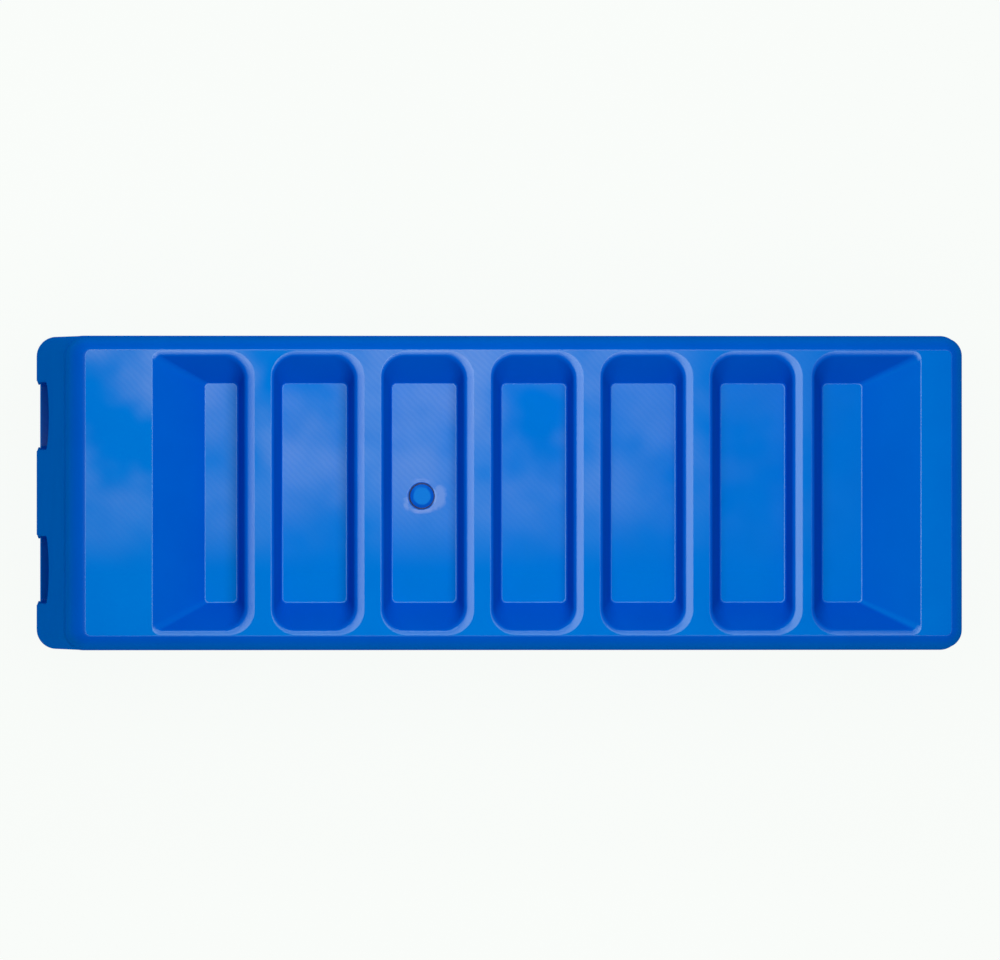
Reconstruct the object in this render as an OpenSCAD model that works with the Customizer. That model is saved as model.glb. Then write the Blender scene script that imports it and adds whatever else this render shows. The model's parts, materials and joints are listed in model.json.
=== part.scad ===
// Water filled road barrier: a hollow moulded block with a filler plug and a drain plug.
// Millimetres, +Z up, X along the barrier, origin at the centre of the footprint on the ground.

/* [Body] */
// Length of the block, without the lugs on its right end
body_l = 1436; // [1190:2:1760]
// Width across the block
body_w = 500; // [412:2:620]
// Height of the block
body_h = 480; // [390:2:600]
// Thickness of the moulded skin
wall = 6; // [4:0.5:8]
// Radius of the upright corners, seen from above
corner_r = 32; // [27:1:50]
// Rounding of the top edge
edge_r = 21; // [8:1:22]
// Rounding of the ground edge
base_r = 10; // [7:1:18]
// Height of the rim band above the ledge
rim_h = 50; // [40:1:70]
// Width of the ledge at the foot of the rim band
ledge = 3; // [1:0.5:4]

/* [Top recesses] */
// Number of recesses along the top
recess_n = 7; // [5:1:9]
// Depth of a recess
recess_d = 48; // [30:1:60]
// Flat land from the left end to the first recess
left_land = 136; // [100:1:170]
// Flat land from the last recess to the right end
right_land = 68; // [50:1:110]
// Flat land from a long side to the recesses
side_land = 24; // [22:1:40]
// Length of the first recess, long slope included
first_l = 165; // [140:1:180]
// Length of the last recess, long slope included
last_l = 177; // [145:1:190]
// Rib between two recesses, across its crest
rib_w = 25; // [14:1:30]
// Rib before the last recess, across its crest
last_rib_w = 13; // [12:1:30]
// How far a steep wall leans in over its depth
steep_run = 25; // [14:1:30]
// How far the walls at a recess's two ends lean in
side_run = 53; // [20:1:80]
// How far the long slope of the first and last recess leans in
long_run = 91; // [40:1:96]
// Chamfer of the recess lips, across
lip_w = 6; // [2:0.5:8]
// Chamfer of the recess lips, down
lip_d = 3; // [1:0.5:6]
// Plan radius of a recess at its mouth
mouth_r = 40; // [15:1:45]
// Plan radius at the mouth beside a long slope
slope_mouth_r = 14; // [10:1:30]
// Plan radius of a recess at its floor
floor_r = 5; // [2:0.5:12]

/* [End sockets and lugs] */
// Distance from the centreline to each socket and lug
lock_y = 123; // [90:1:150]
// Width of a socket
socket_w = 115; // [80:1:130]
// Height of a socket's crown above the ground
socket_h = 200; // [150:1:260]
// Depth of a socket
socket_d = 38; // [30:1:60]
// Height of the sill at the foot of a socket
sill_h = 15; // [10:1:30]
// How far the sill is set back from the end wall
sill_back = 7; // [3:1:10]
// How far a lug stands out of the right end
lug_l = 25; // [15:1:28]
// Clearance between a lug and its neighbour's socket
lock_gap = 5; // [2:0.5:8]

/* [Fork channels] */
// Distance from the middle of the block to each channel
fork_x = 300; // [240:5:340]
// Width of a channel on the ground
fork_w = 190; // [150:5:210]
// Height of a channel
fork_h = 80; // [60:2:90]
// How far a channel's sides lean in
fork_run = 8; // [0:1:15]
// Chamfer of a channel's upper corners
fork_chamfer = 12; // [4:1:20]

/* [Side flutes] */
// Number of flutes on each long side
flute_n = 7; // [3:1:7]
// Distance between flutes
flute_pitch = 175; // [150:5:185]
// Width of a flute at the face
flute_w = 110; // [80:2:130]
// Depth of a flute
flute_d = 8; // [4:0.5:10]
// How far a flute's walls lean in
flute_run = 9; // [4:0.5:14]
// Bottom of a flute above the ground
flute_low = 122; // [116:1:150]
// Land between the flutes and the ledge
flute_top_land = 32; // [20:1:60]

/* [Filler] */
// Distance from the third recess's middle to the plug, towards the left end
filler_dx = 4; // [0:1:15]
// Distance from the centreline to the plug, towards the front
filler_dy = 5; // [0:1:60]
// Radius of the plug's head
filler_head_r = 19; // [16:0.5:24]
// Thickness of the plug's head
filler_head_t = 5; // [3:0.5:8]
// Radius of the plug's shank
filler_shank_r = 13.1; // [9:0.1:14]
// Length of the shank below the seal
filler_shank_l = 18; // [12:0.5:24]

/* [Drain] */
// Distance from the middle of the block to the drain
drain_x = 560; // [500:5:600]
// Height of the drain's centre above the ground
drain_z = 62; // [58:1:66]
// Width and height of the drain pocket at the face
pocket_w = 92; // [84:1:100]
// Depth of the drain pocket
pocket_d = 30; // [24:1:40]
// How far the pocket's walls lean in
pocket_run = 4; // [0:0.5:6]
// Radius of the plug's head
drain_head_r = 27; // [24:0.5:30]
// Thickness of the plug's head
drain_head_t = 6; // [4:0.5:8]
// Radius of the plug's shank
drain_shank_r = 19; // [14:0.5:21]
// Length of the shank below the seal
drain_shank_l = 22; // [14:0.5:26]
// Height of the hand bar above the head
bar_h = 11; // [6:0.5:14]
// Thickness of the hand bar
bar_t = 9; // [6:0.5:12]

/* [Bushes and seals] */
// Thickness of a bush's tube
bush_t = 4; // [3:0.5:6]
// How far a bush's flange stands out of its tube
flange_w = 9; // [6:0.5:14]
// Thickness of a bush's flange
flange_t = 4; // [3:0.5:6]
// Thickness of a seal
seal_t = 2; // [1:0.5:4]
// How far a seal's edge stays in from the plug's head
seal_in = 1; // [0.5:0.5:3]
// Running clearance between a shank and its bush
thread_fit = 0.08; // [0.02:0.01:0.1]
// Clearance between a bush and its hole in the skin
bush_fit = 0.1; // [0.05:0.05:0.3]
// Clearance between a seal and the shank inside it
seal_fit = 0.4; // [0.3:0.1:1]
// Rounding of a plug head's edge
head_edge_r = 1.5; // [0.5:0.5:2]

/* [Hidden] */

// How far cutters run past the faces that they open
over = 2;
// Height of the two slopes that make up the ledge
ledge_r = 2;
// Steps in a quarter round of a recess's corner, of the block's upright corners and of its edges
corner_steps = 5;
block_steps = 8;
edge_steps = 6;

// The lugs count in the overall length, so the block sits to the left of the origin
left_x = -(body_l + lug_l) / 2;
right_x = left_x + body_l;
mid_x = (left_x + right_x) / 2;

// Recesses between the first and the last share what is left of the length
mid_n = recess_n - 2;
mid_l = (body_l - left_land - right_land - first_l - last_l - last_rib_w - mid_n * rib_w) / mid_n;
first_x = left_x + left_land;
mid_first_x = first_x + first_l + rib_w;
last_x = right_x - right_land - last_l;
mouth_y = body_w / 2 - side_land;
floor_z = body_h - recess_d;

// The filler stands in the third recess
filler_x = mid_first_x + (mid_l + rib_w) + mid_l / 2 - filler_dx;
pocket_y = -(body_w / 2 - pocket_d);

// Rectangle with round corners, even about the centreline, with its own radius at each end
function corner(cx, cy, r, start, steps) =
    [for (i = [0:steps]) let (a = start + 90 * i / steps) [cx + r * cos(a), cy + r * sin(a)]];

function outline(x0, x1, y, r0, r1, steps) = concat(
    corner(x1 - r1, y - r1, r1, 0, steps),
    corner(x0 + r0, y - r0, r0, 90, steps),
    corner(x0 + r0, -y + r0, r0, 180, steps),
    corner(x1 - r1, -y + r1, r1, 270, steps)
);

function at_z(points, z) = [for (p = points) [p.x, p.y, z]];
function rect_at_y(cx, cz, hx, hz, y) =
    [[cx - hx, y, cz - hz], [cx + hx, y, cz - hz], [cx + hx, y, cz + hz], [cx - hx, y, cz + hz]];

// Closed solid through a list of rings that all have the same number of points
module loft(rings) {
    n = len(rings[0]);
    m = len(rings);
    sides = [for (k = [0:m - 2], i = [0:n - 1])
        [k * n + i, k * n + (i + 1) % n, (k + 1) * n + (i + 1) % n, (k + 1) * n + i]];
    caps = [[for (i = [n - 1:-1:0]) i], [for (i = [0:n - 1]) (m - 1) * n + i]];
    polyhedron(points = [for (ring = rings, p = ring) p], faces = concat(sides, caps), convexity = 4);
}

// Sideways lean of a wall per millimetre of depth, below its lip
function lean(run) = (run - lip_w) / (recess_d - lip_d);
// Place of a wall, from the mouth's edge inwards, at a depth, moved out by the skin where grown
function wall_at(run, q, grow) = lip_w + (q - lip_d) * lean(run) - grow * sqrt(1 + pow(lean(run), 2));
// Corner radius at a depth
function radius_at(r, q) = (r - lip_w) + (floor_r - (r - lip_w)) * (q - lip_d) / (recess_d - lip_d);

function recess_ring(x0, x1, run0, run1, r0, r1, q, grow) = at_z(outline(
    x0 + wall_at(run0, q, grow), x1 - wall_at(run1, q, grow), mouth_y - wall_at(side_run, q, grow),
    radius_at(r0, q) + grow, radius_at(r1, q) + grow, corner_steps), body_h - q);

function mouth_ring(x0, x1, r0, r1) = let (out = over * lip_w / lip_d) at_z(outline(
    x0 - out, x1 + out, mouth_y + out, r0 + out, r1 + out, corner_steps), body_h + over);

// What one recess takes away; grown by the skin it is what the recess keeps out of the tank
module recess(x0, x1, run0, run1, r0, r1, grow) {
    if (grow == 0) {
        loft([
            mouth_ring(x0, x1, r0, r1),
            recess_ring(x0, x1, run0, run1, r0, r1, lip_d, 0),
            recess_ring(x0, x1, run0, run1, r0, r1, recess_d, 0)
        ]);
    } else {
        loft([
            recess_ring(x0, x1, run0, run1, r0, r1, 0, grow),
            recess_ring(x0, x1, run0, run1, r0, r1, recess_d + grow, grow)
        ]);
    }
}

module recesses(grow) {
    recess(first_x, first_x + first_l, long_run, steep_run, slope_mouth_r, mouth_r, grow);
    for (i = [0:mid_n - 1]) {
        x = mid_first_x + i * (mid_l + rib_w);
        recess(x, x + mid_l, steep_run, steep_run, mouth_r, mouth_r, grow);
    }
    recess(last_x, last_x + last_l, steep_run, long_run, mouth_r, slope_mouth_r, grow);
}

// Ring round the block at a height, drawn in from its long and short sides alike
function block_ring(inset, z) = at_z(outline(left_x + inset, right_x - inset, body_w / 2 - inset,
    corner_r - inset, corner_r - inset, block_steps), z);

// Outer form of the block, or of the tank inside it where inset by the skin
module block_form(inset) {
    ledge_z = body_h - rim_h - inset;
    low_r = base_r - inset;
    high_r = edge_r - inset;
    quarter = [for (i = [0:edge_steps]) 90 * i / edge_steps];
    loft(concat(
        [for (a = quarter) block_ring(inset + ledge + high_r * (1 - sin(a)), body_h - inset - high_r * (1 - cos(a)))],
        [block_ring(inset + ledge, ledge_z + ledge_r)],
        [block_ring(inset + ledge - ledge_r / 2, ledge_z)],
        [block_ring(inset, ledge_z - ledge_r)],
        [for (a = quarter) block_ring(inset + low_r * (1 - cos(a)), inset + low_r * (1 - sin(a)))]
    ));
}

// Arched outline of a socket or lug, in width and height
module arch(w, low, high) {
    translate([-w / 2, low]) square([w, high - w / 2 - low]);
    translate([0, high - w / 2]) intersection() {
        circle(d = w, $fn = 96);
        translate([-w / 2, -w / 2]) square(w);
    }
}

module along_x(x, l) {
    translate([x, 0, 0]) rotate([90, 0, 90]) linear_extrude(height = l) children();
}

module sockets(grow) {
    for (side = [-1, 1]) {
        along_x(left_x - over, socket_d + grow + over) translate([side * lock_y, 0])
            arch(socket_w + 2 * grow, grow > 0 ? -over : sill_h, socket_h + grow);
        if (grow == 0) {
            along_x(left_x - over, sill_back + over) translate([side * lock_y - socket_w / 2, -over])
                square([socket_w, sill_h + 2 * over]);
        }
    }
}

module lugs(inset) {
    start = right_x - corner_r;
    for (side = [-1, 1]) {
        along_x(start, right_x + lug_l - inset - start) translate([side * lock_y, 0])
            arch(socket_w - 2 * (lock_gap + inset), sill_h + lock_gap + inset, socket_h - lock_gap - inset);
    }
}

module fork_channels(grow) {
    low = fork_w / 2 + grow;
    high = low - fork_run;
    top = fork_h + grow;
    for (side = [-1, 1]) {
        translate([mid_x + side * fork_x, 0, 0]) rotate([90, 0, 0])
            linear_extrude(height = body_w + 2 * over, center = true)
                polygon([[-low, -over], [low, -over], [high, top - fork_chamfer], [high - fork_chamfer, top],
                    [fork_chamfer - high, top], [-high, top - fork_chamfer]]);
    }
}

// Shallow sloping pocket in the front face: half sizes at the face, lean and depth
module face_pocket(cx, cz, hx, hz, run, d, grow) {
    k = run / d;
    ofs = grow * sqrt(1 + k * k);
    front = -body_w / 2;
    loft([
        rect_at_y(cx, cz, hx + over * k + ofs, hz + over * k + ofs, front - over),
        rect_at_y(cx, cz, hx - (d + grow) * k + ofs, hz - (d + grow) * k + ofs, front + d + grow)
    ]);
}

module flutes(grow) {
    high = body_h - rim_h - flute_top_land;
    for (side = [0, 1], i = [0:flute_n - 1]) {
        mirror([0, side, 0])
            face_pocket(mid_x + (i - (flute_n - 1) / 2) * flute_pitch, (flute_low + high) / 2,
                flute_w / 2, (high - flute_low) / 2, flute_run, flute_d, grow);
    }
}

module cuts(grow) {
    recesses(grow);
    sockets(grow);
    fork_channels(grow);
    flutes(grow);
    face_pocket(mid_x + drain_x, drain_z, pocket_w / 2, pocket_w / 2, pocket_run, pocket_d, grow);
}

// Where a plug's stack stands: on the recess floor, or on the back of the drain pocket
module at_filler() {
    translate([filler_x, -filler_dy, floor_z]) children();
}

module at_drain() {
    translate([mid_x + drain_x, pocket_y, drain_z]) rotate([90, 0, 0]) children();
}

function bush_r(shank_r) = shank_r + thread_fit + bush_t;

module bush_hole(shank_r) {
    translate([0, 0, -wall - over]) cylinder(r = bush_r(shank_r) + bush_fit, h = wall + 2 * over, $fn = 96);
}

module bush(shank_r, shank_l) {
    l = shank_l + flange_t;
    difference() {
        union() {
            translate([0, 0, -l]) cylinder(r = bush_r(shank_r), h = l, $fn = 96);
            translate([0, 0, -wall - flange_t])
                cylinder(r = bush_r(shank_r) + flange_w, h = flange_t, $fn = 96);
        }
        translate([0, 0, -l - over]) cylinder(r = shank_r + thread_fit, h = l + 2 * over, $fn = 96);
    }
}

module seal(head_r, shank_r) {
    difference() {
        cylinder(r = head_r - seal_in, h = seal_t, $fn = 96);
        translate([0, 0, -over]) cylinder(r = shank_r + seal_fit, h = seal_t + 2 * over, $fn = 96);
    }
}

module plug_body(head_r, head_t, shank_r, shank_l) {
    translate([0, 0, -shank_l]) cylinder(r = shank_r, h = shank_l + seal_t + head_t / 2, $fn = 96);
    translate([0, 0, seal_t]) rotate_extrude($fn = 96) {
        square([head_r - head_edge_r, head_t]);
        square([head_r, head_t - head_edge_r]);
        intersection() {
            translate([head_r - head_edge_r, head_t - head_edge_r]) circle(r = head_edge_r, $fn = 32);
            square([head_r, head_t]);
        }
    }
}

module barrier_shell() {
    color("dodgerblue") difference() {
        union() {
            block_form(0);
            lugs(0);
        }
        cuts(0);
        difference() {
            union() {
                block_form(wall);
                lugs(wall);
            }
            cuts(wall);
        }
        at_filler() bush_hole(filler_shank_r);
        at_drain() bush_hole(drain_shank_r);
    }
}

module filler_bush() {
    color("dimgray") at_filler() bush(filler_shank_r, filler_shank_l);
}

module filler_seal() {
    color("black") at_filler() seal(filler_head_r, filler_shank_r);
}

module filler_plug() {
    color("dodgerblue") at_filler() plug_body(filler_head_r, filler_head_t, filler_shank_r, filler_shank_l);
}

module drain_bush() {
    color("dimgray") at_drain() bush(drain_shank_r, drain_shank_l);
}

module drain_seal() {
    color("black") at_drain() seal(drain_head_r, drain_shank_r);
}

module drain_plug() {
    bar_l = 2 * (drain_head_r - 2 * head_edge_r);
    color("black") at_drain() union() {
        plug_body(drain_head_r, drain_head_t, drain_shank_r, drain_shank_l);
        translate([-bar_l / 2, -bar_t / 2, seal_t + drain_head_t / 2])
            cube([bar_l, bar_t, drain_head_t / 2 + bar_h]);
    }
}

barrier_shell();
filler_bush();
filler_seal();
filler_plug();
drain_bush();
drain_seal();
drain_plug();
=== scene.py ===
import json
import math

import bmesh
import bpy
from bpy.props import FloatProperty, IntProperty, PointerProperty, StringProperty
from mathutils import Matrix, Vector, noise
from mathutils.geometry import delaunay_2d_cdt


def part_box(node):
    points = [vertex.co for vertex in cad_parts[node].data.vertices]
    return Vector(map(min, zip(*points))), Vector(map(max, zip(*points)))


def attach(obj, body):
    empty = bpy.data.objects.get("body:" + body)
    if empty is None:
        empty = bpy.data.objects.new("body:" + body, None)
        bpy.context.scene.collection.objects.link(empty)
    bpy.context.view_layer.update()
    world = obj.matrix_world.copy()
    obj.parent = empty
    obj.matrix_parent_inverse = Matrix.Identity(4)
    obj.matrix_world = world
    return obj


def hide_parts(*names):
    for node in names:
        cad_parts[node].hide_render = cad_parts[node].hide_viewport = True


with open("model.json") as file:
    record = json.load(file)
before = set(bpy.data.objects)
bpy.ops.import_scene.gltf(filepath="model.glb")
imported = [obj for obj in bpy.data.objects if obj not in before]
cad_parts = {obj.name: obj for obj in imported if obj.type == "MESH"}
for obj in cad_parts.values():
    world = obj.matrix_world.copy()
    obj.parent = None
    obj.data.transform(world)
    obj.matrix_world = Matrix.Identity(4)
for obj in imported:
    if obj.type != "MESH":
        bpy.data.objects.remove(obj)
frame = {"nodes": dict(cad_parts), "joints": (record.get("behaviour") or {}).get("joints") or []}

bl_info = {
    "name": "Water Filled Barrier",
    "version": (1, 0, 0),
    "blender": (4, 5, 0),
    "location": "3D View > Sidebar > Barrier",
    "description": "Builds the skin, plugs and studio of a water filled road barrier round its CAD frame",
    "category": "Object",
}

MM = 0.001
QUARTER = math.pi / 2
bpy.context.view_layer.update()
SHELL_LOW, SHELL_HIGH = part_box("barrier_shell")
LEFT, FRONT, GROUND = SHELL_LOW
LUG_TIP, BACK, TOP = SHELL_HIGH
JOINTS = {joint["name"]: joint for joint in frame["joints"]}
FILLER = Vector(JOINTS["filler_turn"]["pos_m"])
DRAIN = Vector(JOINTS["drain_turn"]["pos_m"])


def length(name, description, mm):
    """A length property whose default is given in millimetres."""
    return FloatProperty(name=name, description=description, default=mm * MM, min=0, unit="LENGTH",
                         subtype="DISTANCE", precision=4)


def hex_colour(name, description, value):
    """A colour property that holds an sRGB hex value as text."""
    return StringProperty(name=name, description=description, default=value)


# Sizes ---------------------------------------------------------------------------------------------

class BarrierSkin(bpy.types.PropertyGroup):
    """Sizes of the moulded skin"""
    lug_length: length("Lug length", "How far the lugs stand out of the right end", 25)
    corner: length("Corner radius", "Radius of the upright corners", 32)
    top_edge: length("Top edge", "Rounding of the top edge", 19.5)
    left_edge: length("Left edge", "Width of the rounding along the left end", 26.5)
    base_edge: length("Ground edge", "Rounding of the ground edge", 10)
    rim_height: length("Rim height", "Height of the band above the ledge", 50)
    ledge: length("Ledge", "Width of the ledge at the foot of the rim band", 3)
    recess_depth: length("Recess depth", "Depth of the recesses in the top", 48)
    left_land: length("Left land", "Flat land from the left end to the first recess", 136)
    right_land: length("Right land", "Flat land from the last recess to the right end", 68)
    side_land: length("Side land", "Flat land along both long sides", 24)
    first_length: length("First recess", "Length of the first recess", 165)
    last_length: length("Last recess", "Length of the last recess", 177)
    rib: length("Rib", "Crest between two recesses", 25)
    last_rib: length("Last rib", "Crest before the last recess", 13)
    middle_count: IntProperty(name="Middle recesses", description="Recesses between the first and last",
                              default=5, min=1, max=9)
    steep_run: length("Steep run", "How far a steep recess wall leans in", 25)
    side_run: length("Side run", "How far a recess's end walls lean in", 53)
    long_run: length("Long run", "How far the long slope of an outer recess leans in", 91)
    mouth_radius: length("Mouth radius", "Plan radius of a recess at its mouth", 40)
    slope_radius: length("Slope radius", "Plan radius beside a long slope", 12)
    floor_radius: length("Floor radius", "Plan radius of a recess at its floor", 7)
    bevel_radius: length("Bevel radius", "Radius of the shallow bevel on a recess's right side", 130)
    lip: length("Lip", "Rounding above a recess's wall", 8)
    foot: length("Foot", "Rounding between a recess's wall and floor", 4)


class BarrierFeatures(bpy.types.PropertyGroup):
    """Sizes of the sockets, lugs, channels, flutes and drain pocket"""
    lock_spread: length("Lock spread", "Distance from the centreline to each socket and lug", 123)
    socket_width: length("Socket width", "Width of a socket", 115)
    socket_crown: length("Socket crown", "Height of a socket's crown", 200)
    socket_depth: length("Socket depth", "Depth of a socket", 38)
    sill: length("Sill", "Height of the sill at the foot of a socket", 15)
    sill_back: length("Sill setback", "How far the sill is set back", 7)
    lock_gap: length("Lock gap", "Clearance round a lug in a socket", 5)
    fork_spread: length("Fork spread", "Distance from the middle to each fork channel", 300)
    fork_width: length("Fork width", "Width of a fork channel on the ground", 190)
    fork_height: length("Fork height", "Height of a fork channel", 80)
    fork_lean: length("Fork lean", "How far a channel's sides lean in", 8)
    flute_count: IntProperty(name="Flutes", description="Flutes on each long side", default=7, min=1, max=9)
    flute_pitch: length("Flute pitch", "Distance between flutes", 175)
    flute_width: length("Flute width", "Width of a flute", 110)
    flute_depth: length("Flute depth", "Depth of a flute", 8)
    flute_run: length("Flute run", "How far a flute's walls lean in", 9)
    flute_bottom: length("Flute bottom", "Height of a flute's lower end", 122)
    flute_top_land: length("Flute top land", "Land between the flutes and the ledge", 32)
    pocket_width: length("Pocket width", "Width of the drain pocket", 92)
    pocket_depth: length("Pocket depth", "Depth of the drain pocket", 30)
    pocket_run: length("Pocket run", "How far the drain pocket's walls lean in", 4)
    edge: length("Edge", "Rounding of the moulded mouths", 5)


class BarrierPlugs(bpy.types.PropertyGroup):
    """Sizes of the two plugs"""
    filler_pitch: length("Filler pitch", "Pitch of the filler's thread", 4)
    drain_pitch: length("Drain pitch", "Pitch of the drain's thread", 5)
    thread_depth: length("Thread depth", "Depth of the threads", 1.1)
    seat_width: length("Seat width", "Width of the uneven seat round the filler, along the barrier", 46)
    seat_length: length("Seat length", "Length of the uneven seat round the filler, across the barrier", 30)
    seat_mouth: length("Seat mouth", "Radius of the opening in the middle of the seat", 21)
    seat_rise: length("Seat rise", "Height of the uneven seat round the filler", 0.9)


class BarrierFinish(bpy.types.PropertyGroup):
    """Colours and the grain of the finishes"""
    skin: hex_colour("Skin", "Colour of the moulded polyethylene", "#004ABE")
    skin_pale: hex_colour("Skin, pale", "Paler streaks in the moulded polyethylene", "#0052C5")
    sheen: hex_colour("Sheen", "Tint of the skin's waxy sheen", "#00FFFF")
    # Pale colour of the painted reflection of the softboxes on level faces
    painted_reflection: hex_colour("Painted reflection", "Colour of the pale bloom on level faces", "#F2F2F8")
    plug: hex_colour("Plug", "Colour of the filler plug", "#0050C6")
    drain: hex_colour("Drain plug", "Colour of the drain plug", "#17181A")
    rubber: hex_colour("Rubber", "Colour of the seals", "#101011")
    nylon: hex_colour("Nylon", "Colour of the bushes", "#123A86")
    floor: hex_colour("Floor", "Colour of the studio floor", "#FBFEFB")
    grain: length("Grain", "Spacing of the skin's blasted grain", 4.5)
    ripple: length("Ripple", "Length of the skin's cooling ripples", 140)


# Materials -----------------------------------------------------------------------------------------

def linear(value):
    """Linear RGBA of an sRGB hex colour."""
    channels = [int(value[i:i + 2], 16) / 255 for i in (1, 3, 5)]
    return [c / 12.92 if c <= 0.04045 else ((c + 0.055) / 1.055) ** 2.4 for c in channels] + [1.0]


def add_node(tree, kind, inputs=None, **settings):
    """Adds a node. settings are its own options; inputs maps a socket to a value or to another socket."""
    node = tree.nodes.new(kind)
    for option, value in settings.items():
        setattr(node, option, value)
    for socket, value in (inputs or {}).items():
        if isinstance(value, bpy.types.NodeSocket):
            tree.links.new(value, node.inputs[socket])
        else:
            node.inputs[socket].default_value = value
    return node


def new_material(name):
    """An empty node material with its output node."""
    material = bpy.data.materials.new(name)
    material.use_nodes = True
    material.node_tree.nodes.clear()
    return material, material.node_tree, add_node(material.node_tree, "ShaderNodeOutputMaterial")


def chain(tree, operation, *values):
    """Folds sockets and values together with one math operation."""
    result = values[0]
    for value in values[1:]:
        result = add_node(tree, "ShaderNodeMath", {0: result, 1: value}, operation=operation).outputs["Value"]
    return result


def ramp(tree, value, start, end):
    """A share that runs from 0 at start to 1 at end, eased at both."""
    eased = add_node(tree, "ShaderNodeMapRange", {
        "Value": value, "From Min": start, "From Max": end}, interpolation_type="SMOOTHSTEP")
    return eased.outputs["Result"]


# Share of the skin that each finish covers at its strongest; the cloud and ring shares are a painted
# reflection
SHEEN_SHARE = 0.038
POLISH_SHARE = 0.03
PAINTED_CLOUD_SHARE = 0.10
PAINTED_RING_SHARE = 0.15


def painted_reflection_amount(tree, place, upright, drag):
    """Share of a surface that a pale painted reflection covers.

    The painted reflection stands in for the softboxes' glare on level faces: soft clouds, stronger
    towards the back and the left end, and an uneven painted ring of glare round the filler plug.
    """
    level = ramp(tree, upright, 0.975, 0.998)
    axes = add_node(tree, "ShaderNodeSeparateXYZ", {0: place})
    clouds = add_node(tree, "ShaderNodeTexNoise", {"Vector": place, "Scale": 1 / (240 * MM), "Detail": 3.0})
    # Painted reflection: pale clouds on level faces, stronger towards the back and the left end
    cloud_reflection = chain(tree, "MULTIPLY", level, ramp(tree, clouds.outputs["Fac"], 0.34, 0.62),
                    ramp(tree, axes.outputs["Y"], -0.13, 0.06), ramp(tree, axes.outputs["X"], 0.62, -0.10))
    streaks = chain(tree, "ADD", 0.92, chain(tree, "MULTIPLY", drag, 0.16))
    offset = add_node(tree, "ShaderNodeVectorMath", {0: place, 1: FILLER}, operation="SUBTRACT")
    shape = add_node(tree, "ShaderNodeVectorMath", {
        0: offset.outputs["Vector"], 1: (1 / 0.046, 1 / 0.030, 0)}, operation="MULTIPLY")
    spread = add_node(tree, "ShaderNodeVectorMath", {0: shape.outputs["Vector"]}, operation="LENGTH")
    far = spread.outputs["Value"]
    blotches = add_node(tree, "ShaderNodeTexNoise", {"Vector": place, "Scale": 1 / (22 * MM), "Detail": 3.0})
    # Painted reflection: an uneven pale ring of glare round the filler plug
    ring = chain(tree, "MULTIPLY", ramp(tree, far, 1.1, 0.75),
                 ramp(tree, blotches.outputs["Fac"], 0.36, 0.58), level)
    return chain(tree, "MAXIMUM", chain(tree, "MULTIPLY", cloud_reflection, streaks, PAINTED_CLOUD_SHARE),
                 chain(tree, "MULTIPLY", ring, PAINTED_RING_SHARE))


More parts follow.
